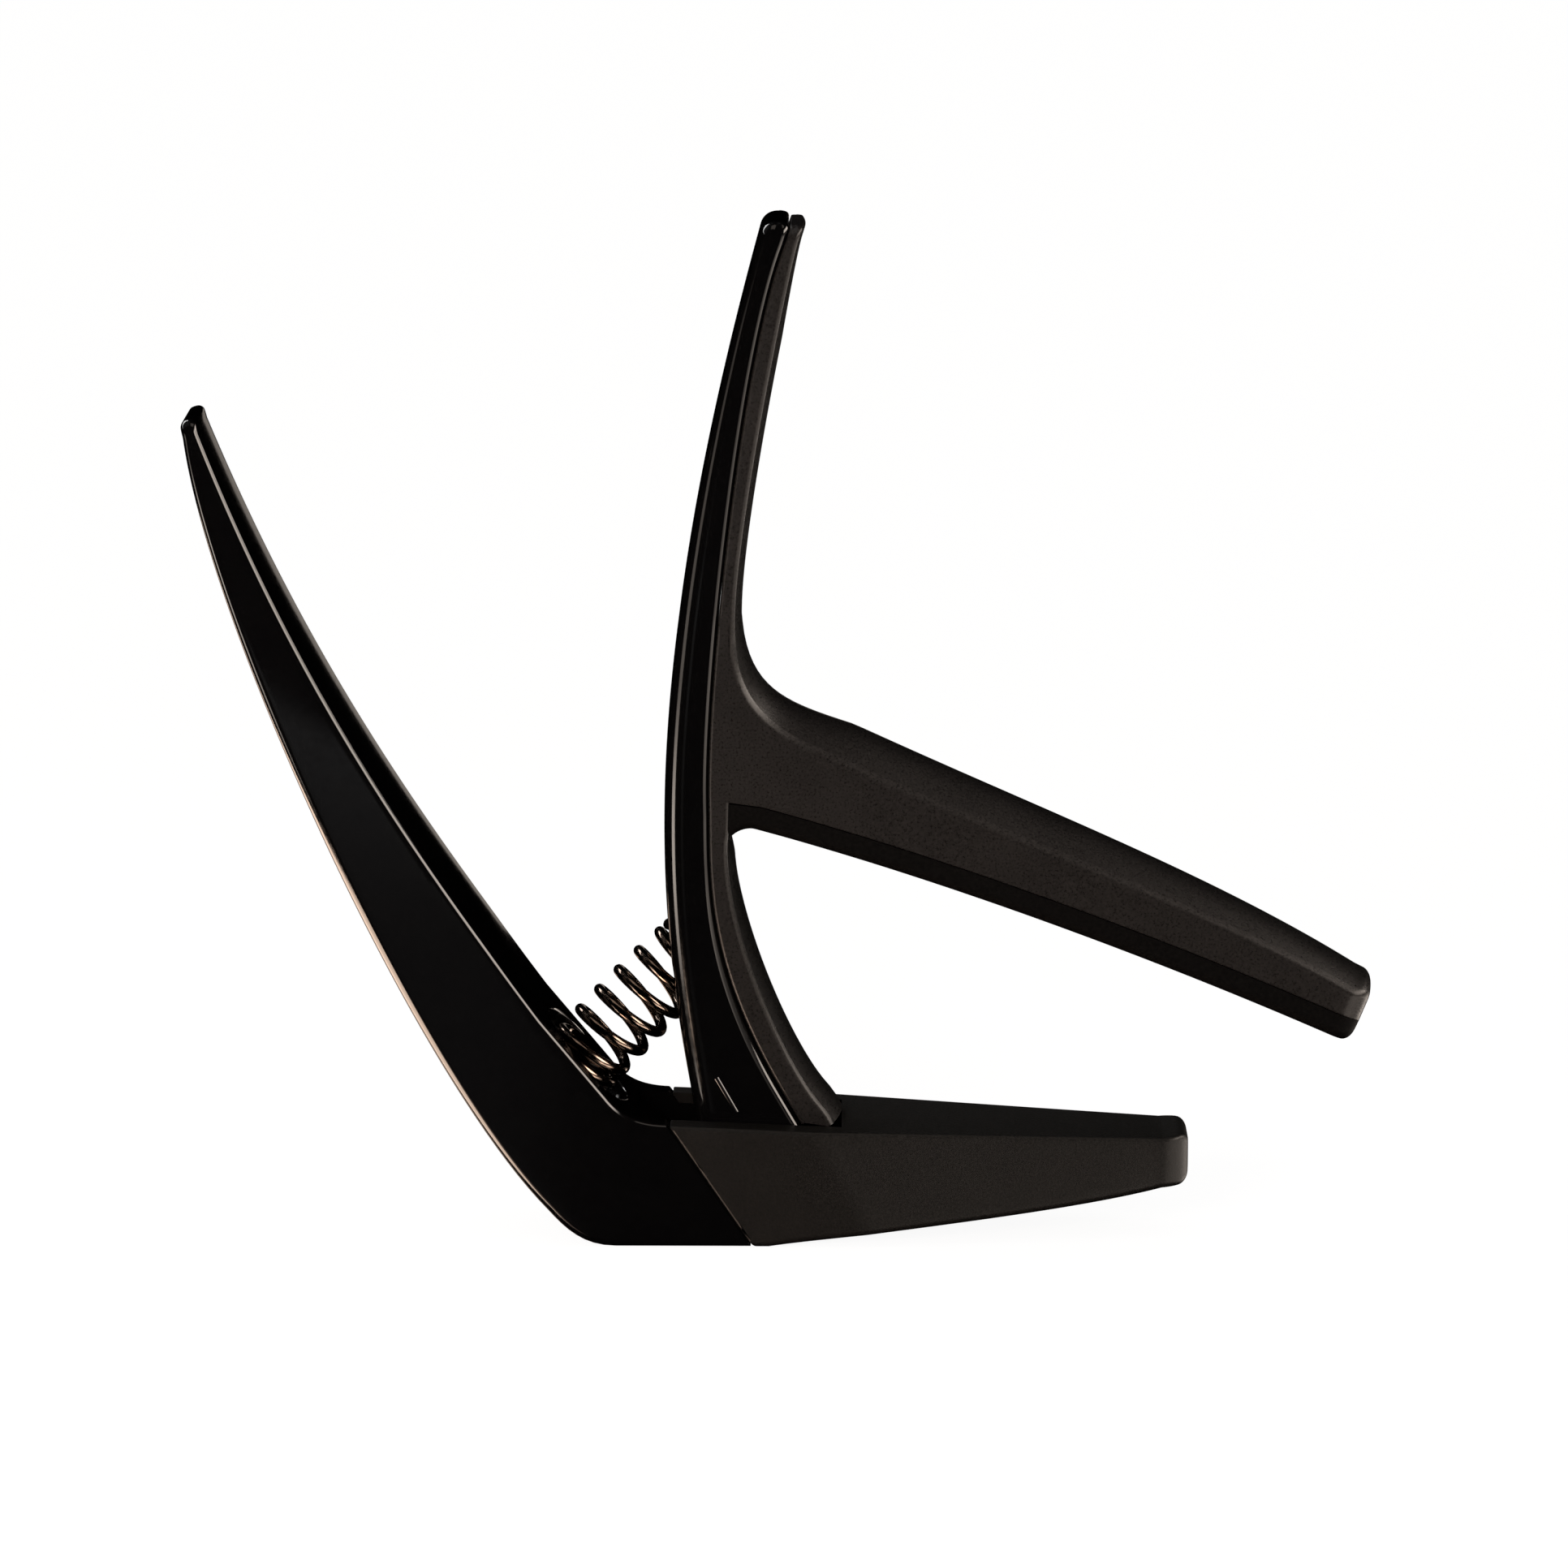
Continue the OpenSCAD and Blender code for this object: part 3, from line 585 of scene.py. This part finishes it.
def foot_ridges():
    """Fine slanted ridge on each side of the foot, with most of its thickness sunk in it."""
    run = RIDGE_FOOT - RIDGE_TOP
    way, sunk = run.normalized(), 0.2
    out = FOOT_W / 2 - sunk
    return [rod(f"ridge_{side}", (RIDGE_TOP.x, y, RIDGE_TOP.y), (way.x, 0, way.y), RIDGE_R, run.length, 16)
            for side, y in (("near", -out), ("far", out))]


def upper_casting():
    cap_drop = 1.25
    zs = upright_levels(UPRIGHT_H - cap_drop, FOOT_Z, UPRIGHT_STEPS)
    face, parting = [place(face_x(z), z) for z in zs], [place(parting_x(z), z) for z in zs]
    piece = tipped_bar("upper_casting", face, parting, [upright_half(z) for z in zs], HANDLE_NOSE,
                       [CAP_R, CAP_BACK_R], FRONT_R, [parting_edge_r(z) for z in zs])
    leg, inset = FOOT_Z + 1, 0.6
    shank = plate("shank", [place(face_x(leg) + inset, leg), place(parting_x(leg) - inset, leg),
                            place(KNUCKLE_R, PIVOT_Z), place(-KNUCKLE_R, PIVOT_Z)], KNUCKLE_W)
    away = HEAD_LEAN + pi
    shape(piece, joins=[shank, parting_rib(), *foot_ridges()],
          cuts=[seat_cut(SPRING_HEAD, away, HEAD_SEAT_D, HEAD_SEAT_ROOM)])
    boss, knuckle = seat_boss(SPRING_HEAD, away, HEAD_BOSS_H), pivot_rod("knuckle", KNUCKLE_R, KNUCKLE_W)
    shape(piece, joins=[boss, knuckle], cuts=[pivot_rod("bore", BUSH_R + HAIR, 2 * KNUCKLE_W)])
    return finish_edges(piece)


# Stations of the bar: shares of the pad's underside beside the fillet, then along the bar itself.
ROOT_SHARE, ROOT_STEPS, BAR_STEPS = 0.16, 12, 48
PAD_SHARES = [ROOT_SHARE * k / ROOT_STEPS for k in range(1, ROOT_STEPS + 1)]
PAD_SHARES += [mix(ROOT_SHARE, 1, k / BAR_STEPS) for k in range(1, BAR_STEPS + 1)]
ARMPIT = place(back_x(PAD_HEEL.y + PAD_T), PAD_HEEL.y + PAD_T + 0.3)


def seat_point(t):
    """Point of the pad's seat on the bar, at share t of the pad's underside."""
    run = (bend(PAD_UNDER, t + 0.01) - bend(PAD_UNDER, t - 0.01)).normalized()
    return bend(PAD_UNDER, t) + place(-run.y, run.x) * PAD_T


def strip_crown(z):
    """Crown of the upright's back: none at the armpit under the bar, and less at the top."""
    armpit, flat, top = BACK_HIP.y + 1.5, 1.5, 80
    return (mix(TOE_CROWN, STRIP_CROWN, (z - BACK_TOE.y) / 20) * smooth((abs(z - armpit) - flat) / 3)
            * mix(1, 0.6, (z - top) / 8))


def back_strip():
    cap_drop = 0.2
    zs = upright_levels(BACK_HEAD.y - cap_drop, FOOT_Z, UPRIGHT_STEPS)
    back, parting = [place(back_x(z), z) for z in zs], [place(parting_x(z) + SEAM, z) for z in zs]
    return tipped_bar("back_strip", back, parting, [upright_half(z) for z in zs], HANDLE_NOSE,
                      [STRIP_END_R, PLAIN_R], MOULD_R, MOULD_R, [strip_crown(z) for z in zs])


def grip_moulding():
    top = chain([BACK_BEND + place(-1, 0.6), BACK_BEND], along(FILLET, 18), along(BAR_TOP, BAR_STEPS))
    seat = [ARMPIT + place(-0.8, 0.1)] + along([ARMPIT, seat_point(0)], 6)
    seat += [seat_point(t) for t in PAD_SHARES]
    first = len(top) - BAR_STEPS - 1
    shares = [clamp((k - first) / BAR_STEPS) for k in range(len(top))]
    halves = [mix(ROOT_W, BAR_TIP_W, t) / 2 for t in shares]
    crowns = [mix(STRIP_CROWN, BAR_CROWN, (k - 1) / (first - 1)) if k < first
              else mix(BAR_CROWN, BAR_TIP_CROWN, t) + CROWN_SWELL * sin(pi * t ** 0.7)
              for k, t in enumerate(shares)]
    top, seat, halves, crowns = flip(top, seat, halves, crowns)
    piece = tipped_bar("grip_moulding", top, seat, halves, BAR_NOSE, [BAR_END_R, PLAIN_R],
                       GRIP_R, PLAIN_R, crowns)
    return finish_edges(shape(piece, joins=[back_strip()]))


def rubber_pad():
    """Pad bonded to the underside of the bar. Its heel sweeps down where it meets the upright."""
    bond = place(0, BOND)
    start = ARMPIT - place(HEEL_GAP, BOND)
    heel = place(start.x, PAD_HEEL.y - HEEL_DROP)
    sweep = [heel, heel + place(0.35, 1.3), PAD_HEEL + place(-0.85, 0.25), PAD_HEEL]
    top = along([start, seat_point(0) - bond], 12) + [seat_point(t) - bond for t in PAD_SHARES]
    under = along(sweep, 12) + [bend(PAD_UNDER, t) for t in PAD_SHARES]
    first = len(top) - BAR_STEPS - 1
    halves = [mix(ROOT_W, BAR_TIP_W, (k - first) / BAR_STEPS) / 2 - PAD_SETBACK for k in range(len(top))]
    piece = tipped_bar("rubber_pad", *flip(top, under, halves), BAR_NOSE, [PLAIN_R, PAD_END_R],
                       PLAIN_R, PAD_R)
    return finish_edges(piece)


def coil_spring():
    """Round wire wound on the slightly bowed line between the two seats, with closed ends."""
    run = (SPRING_HEAD - SPRING_FOOT).length
    line = [SPRING_FOOT, SPRING_FOOT + heading(FOOT_LEAN) * run / 3,
            SPRING_HEAD - heading(HEAD_LEAN) * run / 3, SPRING_HEAD]
    turns, steps, sides, wire_r = ACTIVE_TURNS + 2, 48, 16, WIRE_D / 2
    rings = []
    for i in range(turns * steps + 1):
        n = i / steps
        # The first and the last turn lie closed, and the active turns share what is left.
        closed = min(n, 1) + max(0, n - turns + 1)
        t = (closed * WIRE_D + clamp((n - 1) / ACTIVE_TURNS) * (run - 2 * WIRE_D)) / run
        centre = bend(line, t)
        way = (bend(line, t + 0.01) - bend(line, t - 0.01)).normalized()
        axis = Vector((way.x, 0, way.y))
        out = Vector((-way.y, 0, way.x)) * cos(2 * pi * n) - Vector((0, 1, 0)) * sin(2 * pi * n)
        middle = Vector((centre.x, 0, centre.y)) + out * (SPRING_D / 2 - wire_r)
        rings.append([middle + (out * cos(a) + axis * sin(a)) * wire_r
                      for a in (2 * pi * k / sides for k in range(sides))])
    return finish_edges(skin("coil_spring", rings), 60)


# ---------------------------------------------------------------- finishes

def linear(code):
    """Linear RGBA of an sRGB hex colour."""
    parts = [int(code[k:k + 2], 16) / 255 for k in (1, 3, 5)]
    return (*[c / 12.92 if c <= 0.04045 else ((c + 0.055) / 1.055) ** 2.4 for c in parts], 1.0)


def add(tree, kind, inputs=(), stops=(), **settings):
    """Adds a node, sets its properties, fills or links its inputs, and gives a colour ramp its stops,
    each a place along it and an sRGB hex colour."""
    made = tree.nodes.new(kind)
    for name, value in settings.items():
        setattr(made, name, value)
    for key, value in dict(inputs).items():
        if isinstance(value, bpy.types.NodeSocket):
            tree.links.new(value, made.inputs[key])
        else:
            made.inputs[key].default_value = value
    for k, (position, code) in enumerate(stops):
        made.color_ramp.elements[k].position = position
        made.color_ramp.elements[k].color = linear(code)
    return made


def per_mm(spacing):
    """Noise scale that repeats at the given spacing in millimetres."""
    return 1 / (spacing * MM)


def new_finish(name):
    finish = bpy.data.materials.new(name)
    finish.use_nodes = True
    finish.node_tree.nodes.clear()
    return finish, finish.node_tree


def baked_gloss_enamel():
    """Black baked enamel over a zinc die casting. The enamel levels to a mirror with a faint orange
    peel, so faces read black and every rounded edge carries a crisp light line."""
    finish, tree = new_finish("baked_gloss_enamel_on_zinc")
    spot = add(tree, "ShaderNodeTexCoord").outputs["Object"]
    # Orange peel waves of sprayed enamel are about 2.5 mm long and a few microns high.
    peel = add(tree, "ShaderNodeTexNoise", {"Vector": spot, "Scale": per_mm(2.5), "Detail": 2.0})
    # Wiping leaves faint streaks some 0.6 mm apart, which only change how sharp a reflection is.
    streak = add(tree, "ShaderNodeTexNoise", {"Vector": spot, "Scale": per_mm(0.6), "Detail": 4.0})
    haze = add(tree, "ShaderNodeMapRange", {"Value": streak.outputs["Fac"], "From Min": 0.3, "From Max": 0.7,
                                            "To Min": 0.07, "To Max": 0.13})
    depth = add(tree, "ShaderNodeValToRGB", {"Fac": peel.outputs["Fac"]}, [(0, "#060506"), (1, "#0a0909")])
    bump = add(tree, "ShaderNodeBump", {"Height": peel.outputs["Fac"], "Strength": 0.05,
                                        "Distance": 0.004 * MM})
    shell = add(tree, "ShaderNodeBsdfPrincipled", {
        "Base Color": depth.outputs["Color"], "Roughness": haze.outputs["Result"], "IOR": 1.52,
        "Normal": bump.outputs["Normal"]})
    add(tree, "ShaderNodeOutputMaterial", {"Surface": shell.outputs["BSDF"]})
    return finish


def moulded_nylon(name, dark, light, rough):
    """Glass-filled nylon from a spark-textured mould, or a smoother one for the sleeve: a fine dry grain
    that scatters highlights into soft lines and speckles the warm black."""
    finish, tree = new_finish(name)
    spot = add(tree, "ShaderNodeTexCoord").outputs["Object"]
    # Spark erosion pits are about 0.05 mm across, drawn at 0.22 mm so that they show.
    grain = add(tree, "ShaderNodeTexNoise", {"Vector": spot, "Scale": per_mm(0.22), "Detail": 3.0,
                                             "Roughness": 0.7})
    # Glass fibres near the skin cloud the colour over some 4 mm, a quarter as strongly as the grain.
    cloud = add(tree, "ShaderNodeTexNoise", {"Vector": spot, "Scale": per_mm(4), "Detail": 2.0})
    blend = add(tree, "ShaderNodeMath", {0: cloud.outputs["Fac"], 1: 0.25, 2: grain.outputs["Fac"]},
                operation="MULTIPLY_ADD")
    colour = add(tree, "ShaderNodeValToRGB", {"Fac": blend.outputs["Value"]}, [(0.33, dark), (0.8, light)])
    haze = add(tree, "ShaderNodeMapRange", {"Value": grain.outputs["Fac"], "From Min": 0.3, "From Max": 0.7,
                                            "To Min": rough - 0.06, "To Max": rough + 0.08})
    bump = add(tree, "ShaderNodeBump", {"Height": grain.outputs["Fac"], "Strength": 0.5,
                                        "Distance": 0.03 * MM})
    # The pits trap light, so the skin shines less than smooth nylon.
    shell = add(tree, "ShaderNodeBsdfPrincipled", {
        "Base Color": colour.outputs["Color"], "Roughness": haze.outputs["Result"], "IOR": 1.53,
        "Specular IOR Level": 0.2, "Normal": bump.outputs["Normal"]})
    add(tree, "ShaderNodeOutputMaterial", {"Surface": shell.outputs["BSDF"]})
    return finish


def pad_rubber():
    """Moulded EPDM rubber: darker and duller than the grip, with hardly any shine."""
    finish, tree = new_finish("moulded_epdm_rubber")
    spot = add(tree, "ShaderNodeTexCoord").outputs["Object"]
    # Blasted mould skin, pits about 0.1 mm across, drawn at 0.3 mm.
    pits = add(tree, "ShaderNodeTexNoise", {"Vector": spot, "Scale": per_mm(0.3), "Detail": 3.0})
    colour = add(tree, "ShaderNodeValToRGB", {"Fac": pits.outputs["Fac"]},
                 [(0.35, "#060505"), (0.7, "#0e0c0b")])
    bump = add(tree, "ShaderNodeBump", {"Height": pits.outputs["Fac"], "Strength": 0.4,
                                        "Distance": 0.02 * MM})
    shell = add(tree, "ShaderNodeBsdfPrincipled", {
        "Base Color": colour.outputs["Color"], "Roughness": 0.62, "IOR": 1.5,
        "Specular IOR Level": 0.05, "Normal": bump.outputs["Normal"]})
    add(tree, "ShaderNodeOutputMaterial", {"Surface": shell.outputs["BSDF"]})
    return finish


def drawn_metal(name, dark, light, rough, pitch):
    """Metal with fine draw or turning marks: narrow bright glints on a darker ground."""
    finish, tree = new_finish(name)
    spot = add(tree, "ShaderNodeTexCoord").outputs["Object"]
    marks = add(tree, "ShaderNodeTexNoise", {"Vector": spot, "Scale": per_mm(pitch), "Detail": 4.0})
    colour = add(tree, "ShaderNodeValToRGB", {"Fac": marks.outputs["Fac"]}, [(0.3, dark), (0.7, light)])
    haze = add(tree, "ShaderNodeMapRange", {"Value": marks.outputs["Fac"], "From Min": 0.3, "From Max": 0.7,
                                            "To Min": rough - 0.05, "To Max": rough + 0.07})
    shell = add(tree, "ShaderNodeBsdfPrincipled", {
        "Base Color": colour.outputs["Color"], "Roughness": haze.outputs["Result"], "Metallic": 1.0})
    add(tree, "ShaderNodeOutputMaterial", {"Surface": shell.outputs["BSDF"]})
    return finish


def washer_nylon():
    """Stamped natural nylon sheet: milky, with a soft sheen."""
    finish, tree = new_finish("stamped_natural_nylon")
    spot = add(tree, "ShaderNodeTexCoord").outputs["Object"]
    # Crystals in the sheet cloud it over about 0.5 mm.
    cloud = add(tree, "ShaderNodeTexNoise", {"Vector": spot, "Scale": per_mm(0.5), "Detail": 3.0})
    colour = add(tree, "ShaderNodeValToRGB", {"Fac": cloud.outputs["Fac"]}, [(0, "#cfcbc0"), (1, "#e2dfd6")])
    shell = add(tree, "ShaderNodeBsdfPrincipled", {"Base Color": colour.outputs["Color"], "Roughness": 0.42,
                                                   "IOR": 1.53})
    add(tree, "ShaderNodeOutputMaterial", {"Surface": shell.outputs["BSDF"]})
    return finish


def wear(piece, finish):
    """Gives a piece one finish all over."""
    piece.data.materials.clear()
    piece.data.materials.append(finish)
    for face in piece.data.polygons:
        face.material_index = 0


ENAMEL = baked_gloss_enamel()
GRIP_NYLON = moulded_nylon("spark_textured_glass_nylon", "#110e0d", "#2a2624", 0.3)
SLEEVE_NYLON = moulded_nylon("smooth_moulded_glass_nylon", "#0f0d0b", "#1c1917", 0.42)
RUBBER = pad_rubber()
SPRING_STEEL = drawn_metal("oil_blacked_music_wire", "#66584f", "#8a7a6e", 0.12, 0.4)
PIN_STEEL = drawn_metal("ground_steel_pin", "#a9a8a6", "#c9c8c6", 0.25, 0.1)
BRASS = drawn_metal("turned_brass_bush", "#b08a4a", "#cfab68", 0.28, 0.1)
NYLON_SHEET = washer_nylon()

PIECES = [
    (lower_casting(), "base", "base_lever", "gloss_casting", ENAMEL),
    (jaw_moulding(), "base", "jaw_sleeve", "grip_moulding", SLEEVE_NYLON),
    (upper_casting(), "upper", "upper_lever", "gloss_casting", ENAMEL),
    (grip_moulding(), "upper", "bar_grip", "grip_moulding", GRIP_NYLON),
    (rubber_pad(), "upper", "string_pad", "pad_rubber", RUBBER),
]
for piece, body, node, slot, finish in PIECES:
    wear(piece, finish)
    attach(piece, body)
    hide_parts(node)

wire = coil_spring()
wear(wire, SPRING_STEEL)
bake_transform(wire)
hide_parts("spring")

for node, finish in (("pivot_pin", PIN_STEEL), ("pivot_bush", BRASS), ("pivot_washer_near", NYLON_SHEET),
                     ("pivot_washer_far", NYLON_SHEET)):
    wear(frame["nodes"][node], finish)


# ---------------------------------------------------------------- studio, in metres

CENTRE, CARD_REACH, ROOM = Vector((0, 0, 0.045)), 0.7, 0.8
BLACK, WHITE, WARM, AMBER = "#000000", "#ffffff", "#fff1e4", "#ffe0c8"


def paper(name, folds, code):
    """Sheet of paper or card that only reflections see. folds are (corner, corner, brightness)."""
    work = bmesh.new()
    level = work.verts.layers.float.new("brightness")
    lines = []
    for *corners, brightness in folds:
        lines.append([work.verts.new(c) for c in corners])
        for end in lines[-1]:
            end[level] = brightness
    for one, two in zip(lines, lines[1:]):
        work.faces.new((one[0], two[0], two[1], one[1]))
    piece = settle(name, work)
    finish, tree = new_finish(name)
    spread = add(tree, "ShaderNodeAttribute", attribute_name="brightness")
    glow = add(tree, "ShaderNodeEmission", {"Color": linear(code), "Strength": spread.outputs["Fac"]})
    add(tree, "ShaderNodeOutputMaterial", {"Surface": glow.outputs["Emission"]})
    piece.data.materials.append(finish)
    piece.visible_camera = piece.visible_diffuse = piece.visible_transmission = piece.visible_shadow = False


def arch(name, lifts, code, front, back, reach=CARD_REACH):
    """Paper bent round the capo about every 5 degrees, from front to back across it. lifts are (angle
    above the right-hand horizon, brightness)."""
    bends = []
    for (low, one), (high, two) in zip(lifts, lifts[1:]):
        steps = max(1, round(abs(high - low) / 5))
        bends += [(mix(low, high, k / steps), mix(one, two, k / steps)) for k in range(steps)]
    folds = []
    for lift, brightness in bends + lifts[-1:]:
        way = heading(radians(lift)) * reach
        folds.append(((way.x, front, way.y + CENTRE.z), (way.x, back, way.y + CENTRE.z), brightness))
    paper(name, folds, code)


def out_at(turn, lift):
    """Place of a card at an angle round from the front to the right, and an angle above the horizon."""
    way = Vector((sin(radians(turn)), -cos(radians(turn)), tan(radians(lift))))
    return CENTRE + way * CARD_REACH


def ring(name, turns, low, high, code):
    """Paper standing round the capo between two lifts. turns are (angle, brightness)."""
    paper(name, [(out_at(turn, low), out_at(turn, high), brightness) for turn, brightness in turns], code)


def rise(name, lifts, turns, code):
    """Papers standing side by side round the capo. lifts are (angle, brightness)."""
    for left, right in zip(turns, turns[1:]):
        paper(f"{name}_{left}", [(out_at(left, lift), out_at(right, lift), brightness)
                                 for lift, brightness in lifts], code)


def lamp(name, location, width, height, power, code):
    """Soft box that lights the matt surfaces; the cards give the gloss its highlights."""
    data = bpy.data.lights.new(name, "AREA")
    data.shape, data.size, data.size_y, data.energy = "RECTANGLE", width, height, power
    data.color = linear(code)[:3]
    box = bpy.data.objects.new(name, data)
    box.location = location
    box.rotation_euler = (CENTRE - Vector(location)).to_track_quat("-Z", "Y").to_euler()
    box.visible_camera = box.visible_glossy = False
    bpy.context.scene.collection.objects.link(box)


def background_share(tree):
    """1 for a camera, glossy or transmission ray, which all see the pale background."""
    path = add(tree, "ShaderNodeLightPath")
    seen = add(tree, "ShaderNodeMath", {0: path.outputs["Is Camera Ray"], 1: path.outputs["Is Glossy Ray"]},
               operation="ADD")
    return add(tree, "ShaderNodeMath", {0: seen.outputs["Value"], 1: path.outputs["Is Transmission Ray"]},
               operation="ADD", use_clamp=True).outputs["Value"]


def studio_floor():
    """Pale paper floor just under the capo. What the eye sees of it is near white and keeps the
    capo's shadow, and the light it gives back is that of plain pale paper."""
    work = bmesh.new()
    bmesh.ops.create_circle(work, cap_ends=True, segments=96, radius=4)
    floor = settle("floor", work)
    floor.location.z = cad_box[0][2] - 0.02 * MM
    finish, tree = new_finish("pale_paper_sweep")
    plain = add(tree, "ShaderNodeBsdfDiffuse", {"Color": linear("#e6e4e1")})
    shaded = add(tree, "ShaderNodeBsdfDiffuse", {"Color": linear("#8c8a88")})
    glow = add(tree, "ShaderNodeEmission", {"Color": linear(WHITE), "Strength": 0.92})
    lit = add(tree, "ShaderNodeAddShader", {0: shaded.outputs["BSDF"], 1: glow.outputs["Emission"]})
    both = add(tree, "ShaderNodeMixShader", {0: background_share(tree), 1: plain.outputs["BSDF"],
                                             2: lit.outputs["Shader"]})
    add(tree, "ShaderNodeOutputMaterial", {"Surface": both.outputs["Shader"]})
    floor.data.materials.append(finish)
    floor.visible_glossy = False


def studio_world():
    """White where the eye sees it, and a low plain fill as a light."""
    world = bpy.data.worlds.new("studio")
    world.use_nodes = True
    bpy.context.scene.world = world
    tree = world.node_tree
    tree.nodes.clear()
    fill = add(tree, "ShaderNodeBackground", {"Color": linear(WHITE), "Strength": 0.3})
    white = add(tree, "ShaderNodeBackground", {"Color": linear(WHITE), "Strength": 1.0})
    both = add(tree, "ShaderNodeMixShader", {0: background_share(tree), 1: fill.outputs["Background"],
                                             2: white.outputs["Background"]})
    add(tree, "ShaderNodeOutputWorld", {"Surface": both.outputs["Shader"]})


studio_floor()
studio_world()

# Black paper all round keeps the gloss faces black, and bright cards inside it draw their edge lines.
arch("black_paper", [(-180, 0), (180, 0)], BLACK, -ROOM, ROOM, reach=ROOM)
for end, y in (("front", -ROOM), ("back", ROOM)):
    paper(f"black_{end}", [((-0.9, y, z), (0.9, y, z), 0) for z in (-0.8, 0.9)], BLACK)

arch("card_right", [(8, 9), (34, 9), (44, 1)], WARM, -0.6, 0.35)
arch("card_top", [(66, 0.8), (105, 0.8)], WARM, -0.3, 0.05)
rise("card_right_floor", [(-30, 5), (-22, 4.5), (-15, 2.5), (-10, 1.2), (-7, 0.6), (2, 0.3)],
     [20, 60, 100, 140], WARM)
ring("card_left_floor", [(-115, 13), (-42, 13), (-34, 1.5), (-20, 0.4)], -46, -25, AMBER)
ring("card_left_behind", [(-172, 0.25), (-150, 0.5), (-125, 2.5), (-114, 8)], -42, -16, AMBER)
rise("card_left", [(-24.5, 3), (-20, 6), (-12, 8), (-6, 1.6), (-2, 1.6), (9, 0.5)], [-70, -50], WARM)
rise("card_left_top", [(30, 6), (62, 6)], [-150, -115, -80], WHITE)
rise("card_front_left", [(-24, 0.04), (-12, 0.05), (-8, 0.15), (-5.5, 0.25)], [-14, -4.5], WHITE)
rise("card_back_line", [(-20, 0.3), (2, 0.3)], [175, 181], WARM)
lamp("soft_box", (-0.06, -0.2, 0.07), width=0.1, height=0.08, power=0.25, code="#fff6ee")

bpy.context.scene.view_settings.view_transform = "Standard"
